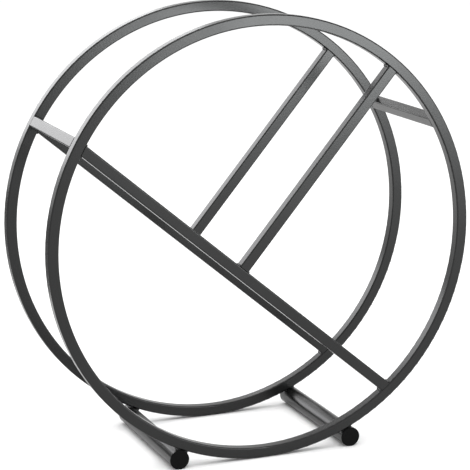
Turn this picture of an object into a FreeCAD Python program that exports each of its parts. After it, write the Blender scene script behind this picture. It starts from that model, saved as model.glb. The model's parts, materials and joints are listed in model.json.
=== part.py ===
import FreeCAD, Part
import Sketcher
import os
import math

# Round firewood rack. Two upright rings of square tube stand one behind the
# other on two round foot tubes. Each ring holds a sloping rail (a chord) and a
# divider square to it, so a stack is split into three compartments.
#
# Frame: +X right, +Y to the back, +Z up, seen from the front.
# Origin: middle of the footprint, on the floor.

V = FreeCAD.Vector
doc = FreeCAD.newDocument("log_rack")

# ---------------------------------------------------------------- dimensions
CELLS = [
    # alias, value, note
    ("ring_outer_dia", 610.0, "outside diameter of both rings"),
    ("tube_side", 15.0, "square tube, outside"),
    ("tube_wall", 1.2, "square tube, wall"),
    ("tube_corner", 1.8, "square tube, outside corner radius"),
    ("rack_depth", 216.0, "front face of the front ring to back face of the rear ring"),
    ("rail_angle", 40.0, "slope of the rails, falling to the right, degrees"),
    ("rail_drop", 55.5, "centre of the rings to the rail's centreline"),
    ("divider_shift", 1.0, "divider's centreline from the rings' centre, up the slope"),
    ("left_bar_angle", 150.4, "upper left crossbar, degrees round from +X"),
    ("right_bar_angle", 29.4, "right crossbar, degrees round from +X"),
    ("foot_dia", 26.9, "foot tube, outside"),
    ("foot_wall", 1.5, "foot tube, wall"),
    ("foot_angle", 23.6, "foot tubes, degrees each side of the lowest point"),
    ("foot_length", 216.0, "foot tube, end to end"),
    ("cap_dia", 27.2, "end cap flange"),
    ("cap_head", 2.0, "end cap flange, thickness"),
    ("cap_round", 0.9, "end cap flange, edge radius"),
    ("cap_spigot", 12.0, "end cap, length inside the tube"),
    ("cap_skin", 1.6, "end cap, wall of the spigot"),
    ("bead_leg", 2.2, "weld fillet leg"),
    ("bead_length", 11.0, "weld fillet length across a square tube"),
    ("foot_bead", 2.3, "weld fillet radius between a foot and a ring"),
]
sheet = doc.addObject("Spreadsheet::Sheet", "Dimensions")
for row, (alias, value, note) in enumerate(CELLS, start=1):
    sheet.set("A%d" % row, alias.replace("_", " "))
    sheet.set("B%d" % row, repr(value))
    sheet.set("C%d" % row, note)
    sheet.setAlias("B%d" % row, alias)
doc.recompute()
D = {alias: float(sheet.get(alias)) for alias, _, _ in CELLS}

# Derived cells, worked out by the sheet itself.
DERIVED = [
    ("ring_mid_radius", "=(ring_outer_dia - tube_side) / 2"),
    ("ring_inner_radius", "=ring_outer_dia / 2 - tube_side"),
    ("ring_offset", "=(rack_depth - tube_side) / 2"),
    ("foot_orbit", "=(ring_outer_dia + foot_dia) / 2"),
    ("hub_height", "=(ring_outer_dia + foot_dia) / 2 * cos(foot_angle * 1deg) + cap_dia / 2"),
    ("foot_x", "=(ring_outer_dia + foot_dia) / 2 * sin(foot_angle * 1deg)"),
    ("foot_z", "=cap_dia / 2"),
    ("bar_length", "=rack_depth - 2 * tube_side"),
]
row = len(CELLS)
for alias, formula in DERIVED:
    row += 1
    sheet.set("A%d" % row, alias.replace("_", " "))
    sheet.set("B%d" % row, formula)
    sheet.setAlias("B%d" % row, alias)
doc.recompute()


def cell(alias):
    value = sheet.get(alias)
    return float(getattr(value, "Value", value))


for alias, _ in DERIVED:
    D[alias] = cell(alias)

HUB = D["hub_height"]
RO = D["ring_outer_dia"] / 2
RI = D["ring_inner_radius"]
W = D["tube_side"]
SLOPE = math.radians(-D["rail_angle"])
ALONG = V(math.cos(SLOPE), 0, math.sin(SLOPE))      # down the rail, to the right
UP = V(-math.sin(SLOPE), 0, math.cos(SLOPE))        # square to the rail, upwards


def turn(direction_degrees):
    # turns local +X onto a direction measured from +X towards +Z
    return FreeCAD.Rotation(V(0, -1, 0), direction_degrees)


def plane(body, role):
    for feature in body.Origin.OriginFeatures:
        if feature.Role == role:
            return feature
    raise RuntimeError("no plane " + role)


def new_body(name):
    body = doc.addObject("PartDesign::Body", name)
    body.Label = name
    return body


def new_sketch(body, name, role):
    sketch = body.newObject("Sketcher::SketchObject", name)
    sketch.AttachmentSupport = (plane(body, role), [""])
    sketch.MapMode = "FlatFace"
    return sketch


def rounded_square(sketch, cx, cy, side, radius):
    # one closed outline with four tangent corner arcs
    h, r = side / 2.0, radius
    n0 = len(sketch.Geometry)
    pts = [
        (cx - h + r, cy - h, cx + h - r, cy - h),
        (cx + h, cy - h + r, cx + h, cy + h - r),
        (cx + h - r, cy + h, cx - h + r, cy + h),
        (cx - h, cy + h - r, cx - h, cy - h + r),
    ]
    arcs = [
        (cx + h - r, cy - h + r, 1.5 * math.pi, 2.0 * math.pi),
        (cx + h - r, cy + h - r, 0.0, 0.5 * math.pi),
        (cx - h + r, cy + h - r, 0.5 * math.pi, math.pi),
        (cx - h + r, cy - h + r, math.pi, 1.5 * math.pi),
    ]
    for (x0, y0, x1, y1), (ax, ay, a0, a1) in zip(pts, arcs):
        sketch.addGeometry(Part.LineSegment(V(x0, y0, 0), V(x1, y1, 0)), False)
        circle = Part.Circle(V(ax, ay, 0), V(0, 0, 1), r)
        sketch.addGeometry(Part.ArcOfCircle(circle, a0, a1), False)
    for i in range(4):
        line, arc, nxt = n0 + 2 * i, n0 + 2 * i + 1, n0 + (2 * i + 2) % 8
        sketch.addConstraint(Sketcher.Constraint("Tangent", line, 2, arc, 1))
        sketch.addConstraint(Sketcher.Constraint("Tangent", arc, 2, nxt, 1))
    sketch.addConstraint(Sketcher.Constraint("Horizontal", n0))
    sketch.addConstraint(Sketcher.Constraint("Vertical", n0 + 2))
    sketch.addConstraint(Sketcher.Constraint("Horizontal", n0 + 4))
    sketch.addConstraint(Sketcher.Constraint("Vertical", n0 + 6))
    sketch.addConstraint(Sketcher.Constraint("Equal", n0 + 1, n0 + 3))
    sketch.addConstraint(Sketcher.Constraint("Equal", n0 + 3, n0 + 5))
    sketch.addConstraint(Sketcher.Constraint("Equal", n0 + 5, n0 + 7))
    return n0


def bind(sketch, kind, args, name, expression, start):
    index = sketch.addConstraint(Sketcher.Constraint(kind, *(list(args) + [start])))
    sketch.renameConstraint(index, name)
    sketch.setExpression("Constraints." + name, expression)


def tube_section(sketch, cx, x_expr, off_y=0.0):
    # hollow square section with its middle at (cx, 0)
    r, t = D["tube_corner"], D["tube_wall"]
    outer = rounded_square(sketch, cx, off_y, W, r)
    inner = rounded_square(sketch, cx, off_y, W - 2 * t, r - t)
    for n0, tag, half, radius in (
        (outer, "outer", "Dimensions.tube_side / 2", "Dimensions.tube_corner"),
        (inner, "inner", "Dimensions.tube_side / 2 - Dimensions.tube_wall",
         "Dimensions.tube_corner - Dimensions.tube_wall"),
    ):
        h = W / 2 if tag == "outer" else W / 2 - t
        rad = r if tag == "outer" else r - t
        bind(sketch, "DistanceY", (n0, 1, -1, 1), tag + "_low", half, h)
        bind(sketch, "DistanceY", (-1, 1, n0 + 4, 1), tag + "_high", half, h)
        bind(sketch, "DistanceX", (-1, 1, n0 + 2, 1), tag + "_right",
             "(%s) + (%s)" % (x_expr, half) if x_expr else half, cx + h)
        if x_expr:
            bind(sketch, "DistanceX", (-1, 1, n0 + 6, 1), tag + "_left",
                 "(%s) - (%s)" % (x_expr, half), cx - h)
        else:
            bind(sketch, "DistanceX", (n0 + 6, 1, -1, 1), tag + "_left", half, h)
        bind(sketch, "Radius", (n0 + 1,), tag + "_corner", radius, rad)


def set_symmetric(feature):
    if hasattr(feature, "SideType"):
        feature.SideType = "Symmetric"
    else:
        feature.Midplane = True


def place(obj, base, rotation, expressions):
    obj.Placement = FreeCAD.Placement(base, rotation)
    for path, expression in expressions:
        obj.setExpression(path, expression)


NODES = []


# --------------------------------------------------------------------- rings
# The square tube is rolled into a closed ring: its hollow section is turned
# once about the ring's axis, which runs front to back.
def ring(name, side):
    body = new_body(name)
    sketch = new_sketch(body, name + "_section", "XY_Plane")
    tube_section(sketch, D["ring_mid_radius"], "Dimensions.ring_mid_radius")
    turned = body.newObject("PartDesign::Revolution", name + "_roll")
    turned.Profile = sketch
    turned.ReferenceAxis = (sketch, ["V_Axis"])
    turned.Angle = 360.0
    place(body, V(0, side * D["ring_offset"], HUB), FreeCAD.Rotation(), [
        (".Placement.Base.y", "%d * Dimensions.ring_offset" % side),
        (".Placement.Base.z", "Dimensions.hub_height"),
    ])
    NODES.append(body)
    return body


ring("front_ring", -1)
ring("rear_ring", 1)


# ------------------------------------------------------------ rails, dividers
# Each rail is a straight tube whose two ends are coped to the inside of its
# ring. Local +X runs along the rail and local +Z is square to it.
def rail(name, side):
    body = new_body(name)
    sketch = new_sketch(body, name + "_section", "YZ_Plane")
    tube_section(sketch, 0.0, None)
    pad = body.newObject("PartDesign::Pad", name + "_tube")
    pad.Profile = sketch
    pad.Length = D["ring_outer_dia"]
    pad.setExpression("Length", "Dimensions.ring_outer_dia")
    set_symmetric(pad)
    doc.recompute()
    before = pad.Shape.Volume
    cope = new_sketch(body, name + "_cope_outline", "XZ_Plane")
    inside = cope.addGeometry(Part.Circle(V(0, D["rail_drop"], 0), V(0, 0, 1), RI), False)
    outside = cope.addGeometry(Part.Circle(V(0, D["rail_drop"], 0), V(0, 0, 1), RI + 120), False)
    cope.addConstraint(Sketcher.Constraint("Coincident", inside, 3, outside, 3))
    cope.addConstraint(Sketcher.Constraint("PointOnObject", inside, 3, -2))
    bind(cope, "DistanceY", (-1, 1, inside, 3), "drop", "Dimensions.rail_drop", D["rail_drop"])
    bind(cope, "Radius", (inside,), "cope_radius", "Dimensions.ring_inner_radius", RI)
    bind(cope, "Radius", (outside,), "clear_radius", "Dimensions.ring_inner_radius + 120", RI + 120)
    cut = body.newObject("PartDesign::Pocket", name + "_cope")
    cut.Profile = cope
    cut.Length = 4 * W
    cut.setExpression("Length", "4 * Dimensions.tube_side")
    set_symmetric(cut)
    doc.recompute()
    if not cut.Shape.Volume < before - 100.0:
        raise RuntimeError(name + " cope cut nothing")
    base = UP * (-D["rail_drop"]) + V(0, side * D["ring_offset"], HUB)
    place(body, base, turn(-D["rail_angle"]), [
        (".Placement.Base.x", "-Dimensions.rail_drop * sin(Dimensions.rail_angle * 1deg)"),
        (".Placement.Base.y", "%d * Dimensions.ring_offset" % side),
        (".Placement.Base.z",
         "Dimensions.hub_height - Dimensions.rail_drop * cos(Dimensions.rail_angle * 1deg)"),
    ])
    NODES.append(body)
    return body


rail("front_sloping_rail", -1)
rail("rear_sloping_rail", 1)


# Each divider stands square on its rail and is coped to the ring at its top.
# Local +X runs up the divider, from the rail's upper face.
def divider(name, side):
    body = new_body(name)
    sketch = new_sketch(body, name + "_section", "YZ_Plane")
    tube_section(sketch, 0.0, None)
    pad = body.newObject("PartDesign::Pad", name + "_tube")
    pad.Profile = sketch
    pad.Length = D["ring_outer_dia"] / 2 + D["rail_drop"]
    pad.setExpression("Length", "Dimensions.ring_outer_dia / 2 + Dimensions.rail_drop")
    doc.recompute()
    before = pad.Shape.Volume
    low = D["rail_drop"] - W / 2
    cope = new_sketch(body, name + "_cope_outline", "XZ_Plane")
    centre = V(low, -D["divider_shift"], 0)
    inside = cope.addGeometry(Part.Circle(centre, V(0, 0, 1), RI), False)
    outside = cope.addGeometry(Part.Circle(centre, V(0, 0, 1), RI + 120), False)
    cope.addConstraint(Sketcher.Constraint("Coincident", inside, 3, outside, 3))
    bind(cope, "DistanceX", (-1, 1, inside, 3), "rise",
         "Dimensions.rail_drop - Dimensions.tube_side / 2", low)
    bind(cope, "DistanceY", (inside, 3, -1, 1), "shift", "Dimensions.divider_shift",
         D["divider_shift"])
    bind(cope, "Radius", (inside,), "cope_radius", "Dimensions.ring_inner_radius", RI)
    bind(cope, "Radius", (outside,), "clear_radius", "Dimensions.ring_inner_radius + 120", RI + 120)
    cut = body.newObject("PartDesign::Pocket", name + "_cope")
    cut.Profile = cope
    cut.Length = 4 * W
    cut.setExpression("Length", "4 * Dimensions.tube_side")
    set_symmetric(cut)
    doc.recompute()
    if not cut.Shape.Volume < before - 100.0:
        raise RuntimeError(name + " cope cut nothing")
    base = UP * (-low) + ALONG * (-D["divider_shift"]) + V(0, side * D["ring_offset"], HUB)
    place(body, base, turn(90.0 - D["rail_angle"]), [
        (".Placement.Base.x",
         "-(Dimensions.rail_drop - Dimensions.tube_side / 2) * sin(Dimensions.rail_angle * 1deg)"
         " - Dimensions.divider_shift * cos(Dimensions.rail_angle * 1deg)"),
        (".Placement.Base.y", "%d * Dimensions.ring_offset" % side),
        (".Placement.Base.z",
         "Dimensions.hub_height"
         " - (Dimensions.rail_drop - Dimensions.tube_side / 2) * cos(Dimensions.rail_angle * 1deg)"
         " + Dimensions.divider_shift * sin(Dimensions.rail_angle * 1deg)"),
    ])
    NODES.append(body)
    return body


divider("front_divider", -1)
divider("rear_divider", 1)


# ----------------------------------------------------------------- crossbars
# Short square tubes between the rings, flush with the rings' outside.
# Local +X points outwards from the rings' axis.
def crossbar(name, angle_alias):
    angle = D[angle_alias]
    body = new_body(name)
    sketch = new_sketch(body, name + "_section", "XZ_Plane")
    tube_section(sketch, 0.0, None)
    pad = body.newObject("PartDesign::Pad", name + "_tube")
    pad.Profile = sketch
    pad.Length = D["bar_length"]
    pad.setExpression("Length", "Dimensions.bar_length")
    set_symmetric(pad)
    a = math.radians(angle)
    base = V(D["ring_mid_radius"] * math.cos(a), 0, HUB + D["ring_mid_radius"] * math.sin(a))
    place(body, base, turn(angle), [
        (".Placement.Base.x",
         "Dimensions.ring_mid_radius * cos(Dimensions.%s * 1deg)" % angle_alias),
        (".Placement.Base.z",
         "Dimensions.hub_height + Dimensions.ring_mid_radius * sin(Dimensions.%s * 1deg)"
         % angle_alias),
    ])
    NODES.append(body)
    return body


crossbar("upper_left_crossbar", "left_bar_angle")
crossbar("right_crossbar", "right_bar_angle")


# ---------------------------------------------------------------------- feet
def foot(name, side):
    body = new_body(name)
    sketch = new_sketch(body, name + "_section", "XZ_Plane")
    r = D["foot_dia"] / 2
    outer = sketch.addGeometry(Part.Circle(V(0, 0, 0), V(0, 0, 1), r), False)
    inner = sketch.addGeometry(Part.Circle(V(0, 0, 0), V(0, 0, 1), r - D["foot_wall"]), False)
    sketch.addConstraint(Sketcher.Constraint("Coincident", outer, 3, -1, 1))
    sketch.addConstraint(Sketcher.Constraint("Coincident", inner, 3, -1, 1))
    bind(sketch, "Radius", (outer,), "outside", "Dimensions.foot_dia / 2", r)
    bind(sketch, "Radius", (inner,), "bore", "Dimensions.foot_dia / 2 - Dimensions.foot_wall",
         r - D["foot_wall"])
    pad = body.newObject("PartDesign::Pad", name + "_pipe")
    pad.Profile = sketch
    pad.Length = D["foot_length"]
    pad.setExpression("Length", "Dimensions.foot_length")
    set_symmetric(pad)
    place(body, V(side * D["foot_x"], 0, D["foot_z"]), FreeCAD.Rotation(), [
        (".Placement.Base.x", "%d * Dimensions.foot_x" % side),
        (".Placement.Base.z", "Dimensions.foot_z"),
    ])
    NODES.append(body)
    return body


foot("left_foot_tube", -1)
foot("right_foot_tube", 1)


# An end cap: a rounded flange outside the tube and a hollow ribbed spigot in
# it. The profile is turned about local Y. Local y = 0 is the tube's end, and
# the flange lies at negative y.
def end_cap(name, side_x, side_y):
    rf = D["cap_dia"] / 2
    hd = D["cap_head"]
    rd = D["cap_round"]
    bore = D["foot_dia"] / 2 - D["foot_wall"]
    rib = bore - 0.02
    core = bore - 0.7
    hollow = core - D["cap_skin"]
    ln = D["cap_spigot"]
    body = new_body(name)
    sketch = new_sketch(body, name + "_profile", "XY_Plane")
    pts = [(0, -hd), (rf - rd, -hd), None, (rf, -hd + rd), (rf, -0.3), (rf - 0.3, 0.0), (core, 0.0)]
    y = 1.6
    for _ in range(3):
        # a barbed rib: steep towards the flange, sloping towards the nose
        pts += [(core, y), (rib, y + 0.3), (rib, y + 0.7), (core, y + 2.2)]
        y += 3.3
    pts += [(core, ln - 0.6), (core - 0.6, ln), (hollow + 0.3, ln), (hollow, ln - 0.3),
            (hollow, 0.4), (hollow - 0.6, -0.6), (0, -0.6)]
    prev = None
    arc_next = False
    geo = []
    for pt in pts:
        if pt is None:
            arc_next = True
            continue
        cur = V(pt[0], pt[1], 0)
        if prev is not None:
            if arc_next:
                c = V(rf - rd, -hd + rd, 0)
                mid = c + V(math.sin(math.pi / 4), -math.cos(math.pi / 4), 0) * rd
                geo.append(Part.Arc(prev, mid, cur))
                arc_next = False
            else:
                geo.append(Part.LineSegment(prev, cur))
        prev = cur
    geo.append(Part.LineSegment(prev, V(0, -hd, 0)))
    sketch.addGeometry(geo, False)
    n = len(geo)
    for i in range(n):
        sketch.addConstraint(Sketcher.Constraint("Coincident", i, 2, (i + 1) % n, 1))
    # the outline is held on the axis and by the flange's sizes
    sketch.addConstraint(Sketcher.Constraint("PointOnObject", 0, 1, -2))
    sketch.addConstraint(Sketcher.Constraint("Horizontal", 0))
    sketch.addConstraint(Sketcher.Constraint("Vertical", n - 1))
    for i in range(n):
        if i not in (0, n - 1):
            sketch.addConstraint(Sketcher.Constraint("Block", i))
    turned = body.newObject("PartDesign::Revolution", name + "_turned")
    turned.Profile = sketch
    turned.ReferenceAxis = (sketch, ["V_Axis"])
    turned.Angle = 360.0
    spin = FreeCAD.Rotation() if side_y < 0 else FreeCAD.Rotation(V(0, 0, 1), 180)
    place(body, V(side_x * D["foot_x"], side_y * D["foot_length"] / 2, D["foot_z"]), spin, [
        (".Placement.Base.x", "%d * Dimensions.foot_x" % side_x),
        (".Placement.Base.y", "%d * Dimensions.foot_length / 2" % side_y),
        (".Placement.Base.z", "Dimensions.foot_z"),
    ])
    NODES.append(body)
    return body


for word_x, sx in (("left", -1), ("right", 1)):
    for word_y, sy in (("front", -1), ("rear", 1)):
        end_cap("%s_%s_end_cap" % (word_x, word_y), sx, sy)


# --------------------------------------------------------------------- welds
# Each fillet is a short rod of filler metal laid along the corner between two
# tubes, less the space of the tubes themselves, so it meets both face to face.
def rod(name, base, direction, radius_alias, length_expr, length):
    obj = doc.addObject("Part::Cylinder", name)
    obj.Radius = D[radius_alias]
    obj.setExpression("Radius", "Dimensions." + radius_alias)
    obj.Height = length
    obj.setExpression("Height", length_expr)
    obj.Placement = FreeCAD.Placement(
        base - direction * (length / 2), FreeCAD.Rotation(V(0, 0, 1), direction)
    )
    return obj


def solid_tube_block(name, length, placement):
    # outside envelope of a straight square tube, middle at the origin along X
    obj = doc.addObject("Part::Box", name)
    obj.Length, obj.Width, obj.Height = length, W, W
    obj.setExpression("Width", "Dimensions.tube_side")
    obj.setExpression("Height", "Dimensions.tube_side")
    obj.Placement = placement.multiply(
        FreeCAD.Placement(V(-length / 2, -W / 2, -W / 2), FreeCAD.Rotation())
    )
    return obj


def disc(name, radius, depth, y_mid):
    obj = doc.addObject("Part::Cylinder", name)
    obj.Radius = radius
    obj.Height = depth
    obj.Placement = FreeCAD.Placement(
        V(0, y_mid - depth / 2, HUB), FreeCAD.Rotation(V(0, 0, 1), V(0, 1, 0))
    )
    return obj


def group_node(name, rods, keep, cutters):
    # rods: the filler; keep: a solid the filler stays inside, or None;
    # cutters: solids whose space is taken away
    fused = doc.addObject("Part::Compound", name + "_rods")
    fused.Links = rods
    shape = fused
    if keep is not None:
        common = doc.addObject("Part::Common", name + "_kept")
        common.Base, common.Tool = shape, keep
        shape = common
    for k, tool in enumerate(cutters):
        last = k == len(cutters) - 1
        cut = doc.addObject("Part::Cut", name if last else "%s_cut%d" % (name, k))
        cut.Base, cut.Tool = shape, tool
        shape = cut
    shape.Label = name
    NODES.append(shape)
    return shape


def frame_welds(name, side):
    y = side * D["ring_offset"]
    hub = V(0, y, HUB)
    ln = D["bead_length"]
    rods = []
    # rail ends: the corners between the rail's two side faces and the ring
    for i, edge in enumerate((W / 2, -W / 2)):
        off = -D["rail_drop"] + edge
        half = math.sqrt(RI * RI - off * off)
        for j, end in enumerate((-1, 1)):
            at = hub + UP * off + ALONG * (end * half)
            rods.append(rod("%s_rail%d%d" % (name, i, j), at, V(0, 1, 0),
                            "bead_leg", "Dimensions.bead_length", ln))
    for i, edge in enumerate((W / 2, -W / 2)):
        off = -D["divider_shift"] + edge
        # divider's top at the ring, and its foot on the rail
        top = math.sqrt(RI * RI - off * off)
        at = hub + ALONG * off + UP * top
        rods.append(rod("%s_top%d" % (name, i), at, V(0, 1, 0),
                        "bead_leg", "Dimensions.bead_length", ln))
        at = hub + ALONG * off + UP * (-D["rail_drop"] + W / 2)
        rods.append(rod("%s_base%d" % (name, i), at, V(0, 1, 0),
                        "bead_leg", "Dimensions.bead_length", ln))
    keep = disc(name + "_inside", RI, W, y)
    rail_block = solid_tube_block(
        name + "_rail_space", 2 * RO,
        FreeCAD.Placement(hub + UP * (-D["rail_drop"]), turn(-D["rail_angle"])))
    div_len = RO + D["rail_drop"]
    div_block = solid_tube_block(
        name + "_divider_space", div_len,
        FreeCAD.Placement(hub + ALONG * (-D["divider_shift"])
                          + UP * (-D["rail_drop"] + div_len / 2), turn(90 - D["rail_angle"])))
    return group_node(name, rods, keep, [rail_block, div_block])


frame_welds("front_frame_welds", -1)
frame_welds("rear_frame_welds", 1)


def crossbar_welds(name, angle_alias):
    a = math.radians(D[angle_alias])
    out = V(math.cos(a), 0, math.sin(a))
    side = V(-math.sin(a), 0, math.cos(a))
    mid = V(0, 0, HUB) + out * D["ring_mid_radius"]
    inner_y = D["ring_offset"] - W / 2
    rods = []
    for i, sy in enumerate((-1, 1)):
        for j, sw in enumerate((-1, 1)):
            at = mid + side * (sw * W / 2) + V(0, sy * inner_y, 0)
            rods.append(rod("%s_rod%d%d" % (name, i, j), at, out,
                            "bead_leg", "Dimensions.bead_length", D["bead_length"]))
    bar = solid_tube_block(
        name + "_bar_space", 2 * inner_y + 40,
        FreeCAD.Placement(mid, FreeCAD.Rotation(V(1, 0, 0), V(0, 1, 0)).multiply(
            FreeCAD.Rotation())))
    # the block's own faces follow the crossbar's turn about the rings' axis
    bar.Placement = FreeCAD.Placement(mid, turn(D[angle_alias])).multiply(
        FreeCAD.Placement(V(0, 0, 0), FreeCAD.Rotation(V(0, 0, 1), 90))).multiply(
        FreeCAD.Placement(V(-(2 * inner_y + 40) / 2, -W / 2, -W / 2), FreeCAD.Rotation()))
    keep = disc(name + "_between", RO + 20, 2 * inner_y, 0.0)
    return group_node(name, rods, keep, [bar])


crossbar_welds("upper_left_crossbar_welds", "left_bar_angle")
crossbar_welds("right_crossbar_welds", "right_bar_angle")


def foot_welds(name, side):
    r = D["foot_dia"] / 2
    a = math.radians(-90 + side * D["foot_angle"])
    out = V(math.cos(a), 0, math.sin(a))
    tang = V(-math.sin(a), 0, math.cos(a))
    hub = V(0, 0, HUB)
    rods = []
    reach = 5.6
    # middle of the gap between the ring's and the foot's round outsides
    ring_face = math.sqrt(RO * RO - reach * reach)
    foot_face = D["foot_orbit"] - math.sqrt(r * r - reach * reach)
    for i, sy in enumerate((-1, 1)):
        for j, st in enumerate((-1, 1)):
            at = (hub + out * ((ring_face + foot_face) / 2) + tang * (st * reach)
                  + V(0, sy * D["ring_offset"], 0))
            rods.append(rod("%s_rod%d%d" % (name, i, j), at, V(0, 1, 0),
                            "foot_bead", "Dimensions.tube_side - 2", W - 2))
    ring_space = disc(name + "_ring_space", RO, D["rack_depth"] + 20, 0.0)
    foot_space = doc.addObject("Part::Cylinder", name + "_foot_space")
    foot_space.Radius = r
    foot_space.setExpression("Radius", "Dimensions.foot_dia / 2")
    foot_space.Height = D["rack_depth"] + 20
    foot_space.Placement = FreeCAD.Placement(
        V(side * D["foot_x"], -(D["rack_depth"] + 20) / 2, D["foot_z"]),
        FreeCAD.Rotation(V(0, 0, 1), V(0, 1, 0)))
    return group_node(name, rods, None, [ring_space, foot_space])


foot_welds("left_foot_welds", -1)
foot_welds("right_foot_welds", 1)

doc.recompute()

# --------------------------------------------------------------------- checks
bad = []
for obj in doc.Objects:
    if any(word in ("Invalid", "Error") for word in obj.State):
        bad.append("%s state %s" % (obj.Name, obj.State))
for node in NODES:
    shape = node.Shape
    if shape.isNull() or not shape.isValid() or shape.Volume <= 0:
        bad.append("%s has no valid shape" % node.Label)
if bad:
    raise RuntimeError("; ".join(bad))

os.makedirs("parts", exist_ok=True)
total = 0.0
for node in NODES:
    shape = node.Shape
    box = shape.BoundBox
    total += shape.Volume
    print("%-28s solids %d  volume %9.1f mm3  x %.2f..%.2f  y %.2f..%.2f  z %.2f..%.2f" % (
        node.Label, len(shape.Solids), shape.Volume,
        box.XMin, box.XMax, box.YMin, box.YMax, box.ZMin, box.ZMax))
    shape.exportStep("parts/%s.step" % node.Label)
print("hub height %.3f  foot x %.3f  total volume %.0f mm3" % (HUB, D["foot_x"], total))
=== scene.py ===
import json
import math
import bpy
from mathutils import Matrix, Vector


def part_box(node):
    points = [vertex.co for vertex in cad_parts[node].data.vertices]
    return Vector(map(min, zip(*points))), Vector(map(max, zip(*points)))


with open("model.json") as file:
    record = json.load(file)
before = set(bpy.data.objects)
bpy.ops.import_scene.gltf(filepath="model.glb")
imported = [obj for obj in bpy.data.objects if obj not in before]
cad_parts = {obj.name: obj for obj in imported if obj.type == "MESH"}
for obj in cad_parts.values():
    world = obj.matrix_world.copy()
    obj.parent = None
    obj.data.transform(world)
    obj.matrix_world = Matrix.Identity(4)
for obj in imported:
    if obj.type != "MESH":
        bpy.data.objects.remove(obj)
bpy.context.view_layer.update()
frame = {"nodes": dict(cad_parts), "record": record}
scene = bpy.context.scene
scene.view_settings.view_transform = "Standard"
scene.view_settings.look = "None"

# ------------------------------------------------------------------ places
ring_lo, ring_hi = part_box("front_ring")
rear_lo, rear_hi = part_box("rear_ring")
RO = (ring_hi.z - ring_lo.z) / 2          # outside radius of the rings
HUB = (ring_hi.z + ring_lo.z) / 2         # height of the rings' axis

# ------------------------------------------------------------------ camera
cam_data = bpy.data.cameras.new("camera")
cam_data.sensor_width = 36.0
cam_data.lens = 1889.0 / 470.0 * 36.0
cam_data.clip_end = 200.0
cam = bpy.data.objects.new("camera", cam_data)
scene.collection.objects.link(cam)
right = Vector((0.92781017, -0.37304535, -0.00233466)).normalized()
ahead = Vector((0.36349166, 0.90542135, -0.21928517)).normalized()
up = right.cross(ahead).normalized()
ahead = (ahead - 0.000280 * right + 0.000285 * up).normalized()
right = ahead.cross(up).normalized()
up = right.cross(ahead).normalized()
turn = Matrix((right, up, -ahead)).transposed().to_4x4()
eye = Vector((-3.15177814, -7.83795897, 1.85202926)) * 0.305 + Vector((0, 0, HUB))
cam.matrix_world = Matrix.Translation(eye) @ turn
scene.camera = cam


# --------------------------------------------------------------- materials
def material(name):
    m = bpy.data.materials.new(name)
    m.use_nodes = True
    tree = m.node_tree
    tree.nodes.clear()
    out = tree.nodes.new("ShaderNodeOutputMaterial")
    shader = tree.nodes.new("ShaderNodeBsdfPrincipled")
    tree.links.new(shader.outputs[0], out.inputs["Surface"])
    return m, tree, shader


def node(tree, kind, **values):
    n = tree.nodes.new(kind)
    for key, value in values.items():
        if key in n.inputs:
            n.inputs[key].default_value = value
        else:
            setattr(n, key, value)
    return n


def powder_coat(name, base=(0.0046, 0.0048, 0.0048), rough=0.24, peel=0.05):
    # Satin powder coat: a fine orange peel, a little unevenness in how glossy
    # it is, and the faintest drift of tone along the tubes.
    m, tree, shader = material(name)
    link = tree.links.new
    where = node(tree, "ShaderNodeTexCoord")
    broad = node(tree, "ShaderNodeTexNoise", Scale=9.0, Detail=3.0, Roughness=0.55)
    fine = node(tree, "ShaderNodeTexNoise", Scale=1400.0, Detail=2.0, Roughness=0.5)
    peel_tex = node(tree, "ShaderNodeTexNoise", Scale=520.0, Detail=1.5, Roughness=0.45)
    for tex in (broad, fine, peel_tex):
        link(where.outputs["Object"], tex.inputs["Vector"])
    tone = node(tree, "ShaderNodeMapRange")
    tone.inputs["From Min"].default_value = 0.3
    tone.inputs["From Max"].default_value = 0.7
    tone.inputs["To Min"].default_value = 0.86
    tone.inputs["To Max"].default_value = 1.14
    link(broad.outputs["Fac"], tone.inputs["Value"])
    colour = node(tree, "ShaderNodeMix", data_type="RGBA", blend_type="MULTIPLY")
    colour.inputs["Factor"].default_value = 1.0
    colour.inputs[6].default_value = (*base, 1.0)
    link(tone.outputs["Result"], colour.inputs[7])
    speck = node(tree, "ShaderNodeMapRange")
    speck.inputs["From Min"].default_value = 0.62
    speck.inputs["From Max"].default_value = 0.78
    speck.inputs["To Min"].default_value = 1.0
    speck.inputs["To Max"].default_value = 1.5
    link(fine.outputs["Fac"], speck.inputs["Value"])
    flecked = node(tree, "ShaderNodeMix", data_type="RGBA", blend_type="MULTIPLY")
    flecked.inputs["Factor"].default_value = 1.0
    link(colour.outputs[2], flecked.inputs[6])
    link(speck.outputs["Result"], flecked.inputs[7])
    link(flecked.outputs[2], shader.inputs["Base Color"])
    gloss = node(tree, "ShaderNodeMapRange")
    gloss.inputs["To Min"].default_value = rough - 0.04
    gloss.inputs["To Max"].default_value = rough + 0.05
    link(broad.outputs["Fac"], gloss.inputs["Value"])
    link(gloss.outputs["Result"], shader.inputs["Roughness"])
    bump = node(tree, "ShaderNodeBump", Strength=peel, Distance=0.0006)
    link(peel_tex.outputs["Fac"], bump.inputs["Height"])
    link(bump.outputs["Normal"], shader.inputs["Normal"])
    shader.inputs["Specular IOR Level"].default_value = 0.32
    shader.inputs["Metallic"].default_value = 0.0
    return m


coat = powder_coat("anthracite_powder_coat")
weld_coat = powder_coat("coated_weld", rough=0.33, peel=0.22)


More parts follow.
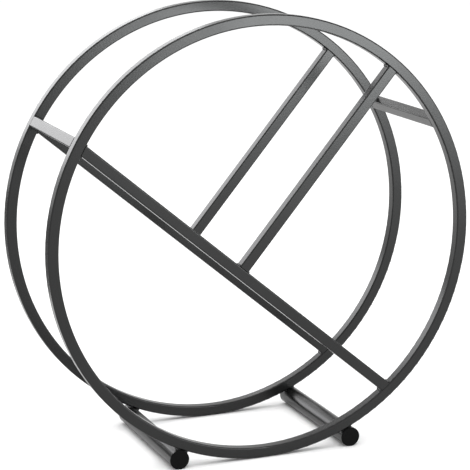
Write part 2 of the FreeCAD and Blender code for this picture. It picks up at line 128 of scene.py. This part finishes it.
def cap_plastic(name):
    m, tree, shader = material(name)
    link = tree.links.new
    where = node(tree, "ShaderNodeTexCoord")
    grain = node(tree, "ShaderNodeTexNoise", Scale=2600.0, Detail=2.0, Roughness=0.6)
    broad = node(tree, "ShaderNodeTexNoise", Scale=60.0, Detail=2.0, Roughness=0.5)
    link(where.outputs["Object"], grain.inputs["Vector"])
    link(where.outputs["Object"], broad.inputs["Vector"])
    tone = node(tree, "ShaderNodeMapRange")
    tone.inputs["To Min"].default_value = 0.0016
    tone.inputs["To Max"].default_value = 0.0032
    link(broad.outputs["Fac"], tone.inputs["Value"])
    link(tone.outputs["Result"], shader.inputs["Base Color"])
    gloss = node(tree, "ShaderNodeMapRange")
    gloss.inputs["To Min"].default_value = 0.52
    gloss.inputs["To Max"].default_value = 0.66
    link(broad.outputs["Fac"], gloss.inputs["Value"])
    link(gloss.outputs["Result"], shader.inputs["Roughness"])
    bump = node(tree, "ShaderNodeBump", Strength=0.25, Distance=0.0002)
    link(grain.outputs["Fac"], bump.inputs["Height"])
    link(bump.outputs["Normal"], shader.inputs["Normal"])
    shader.inputs["Specular IOR Level"].default_value = 0.06
    return m


cap_mat = cap_plastic("black_cap_plastic")

slots = {s["node"]: s["material_slot"] for s in frame["record"]["subparts"]}
finish = {"powder_coat": coat, "weld_coat": weld_coat, "end_cap": cap_mat}
for name, obj in frame["nodes"].items():
    obj.data.materials.clear()
    obj.data.materials.append(finish[slots[name]])

# ------------------------------------------------------------------- stage
floor_mesh = bpy.data.meshes.new("floor")
s = 40.0
floor_mesh.from_pydata([(-s, -s, 0), (s, -s, 0), (s, s, 0), (-s, s, 0)], [], [(0, 1, 2, 3)])
floor = bpy.data.objects.new("floor", floor_mesh)
scene.collection.objects.link(floor)
m, tree, shader = material("pale_floor")
shader.inputs["Base Color"].default_value = (0.92, 0.92, 0.92, 1.0)
shader.inputs["Roughness"].default_value = 0.9
shader.inputs["Specular IOR Level"].default_value = 0.1
floor_mesh.materials.append(m)

world = bpy.data.worlds.new("studio")
scene.world = world
world.use_nodes = True
world.node_tree.nodes["Background"].inputs["Color"].default_value = (1.0, 1.0, 1.0, 1.0)
world.node_tree.nodes["Background"].inputs["Strength"].default_value = 1.08


def softbox(name, place, target, width, height, radiance, colour=(1.0, 1.0, 1.0),
            reflected_only=False):
    data = bpy.data.lights.new(name, "AREA")
    data.shape = "RECTANGLE"
    data.size, data.size_y = width, height
    data.energy = radiance * math.pi * width * height
    data.color = colour
    obj = bpy.data.objects.new(name, data)
    scene.collection.objects.link(obj)
    obj.location = place
    aim = Vector(target) - Vector(place)
    obj.rotation_euler = aim.to_track_quat("-Z", "Y").to_euler()
    obj.visible_camera = False
    obj.visible_diffuse = not reflected_only
    return obj


centre = (0.0, 0.0, HUB)
# The two large panels are there for the reflections in the coat; the floor and
# the shadows on it are lit by the sky and the overhead box.
panel = softbox("front_right_panel", (1.34, -2.50, 0.34), (1.34, 0.0, 0.34), 1.30, 0.42, 18.0,
                (0.965, 0.995, 1.0), reflected_only=True)
# Flagged off the right crossbar, whose outer face would mirror it at a glancing
# angle from behind and burn out to white.
flagged = bpy.data.collections.new("flagged_from_front_right_panel")
for name in ("right_crossbar", "right_crossbar_welds"):
    flagged.objects.link(frame["nodes"][name])
for entry in flagged.collection_objects:
    entry.light_linking.link_state = "EXCLUDE"
panel.light_linking.receiver_collection = flagged
softbox("back_panel", (-2.1, 9.6, 2.90), (-0.3, 0.0, 0.9), 9.4, 3.25, 3.15,
        (0.985, 0.985, 1.0), reflected_only=True)
softbox("overhead_box", (-0.2, -0.2, 3.0), centre, 3.6, 3.6, 1.75)

# A dark card low at the left behind the rack, seen only in reflections: it
# keeps the outer faces of the rings' left sides dark.
card_mesh = bpy.data.meshes.new("dark_card")
card_mesh.from_pydata([(-0.95, 0.65, 0.002), (-0.38, 0.65, 0.002), (-0.38, 0.65, 0.312),
                       (-0.95, 0.65, 0.312)], [], [(0, 1, 2, 3)])
card = bpy.data.objects.new("dark_card", card_mesh)
scene.collection.objects.link(card)
m, tree, shader = material("dark_card")
shader.inputs["Base Color"].default_value = (0.03, 0.03, 0.03, 1.0)
shader.inputs["Emission Color"].default_value = (1.0, 1.0, 1.0, 1.0)
shader.inputs["Emission Strength"].default_value = 0.22
shader.inputs["Roughness"].default_value = 1.0
shader.inputs["Specular IOR Level"].default_value = 0.0
card_mesh.materials.append(m)
card.visible_camera = False
card.visible_diffuse = False
card.visible_shadow = False
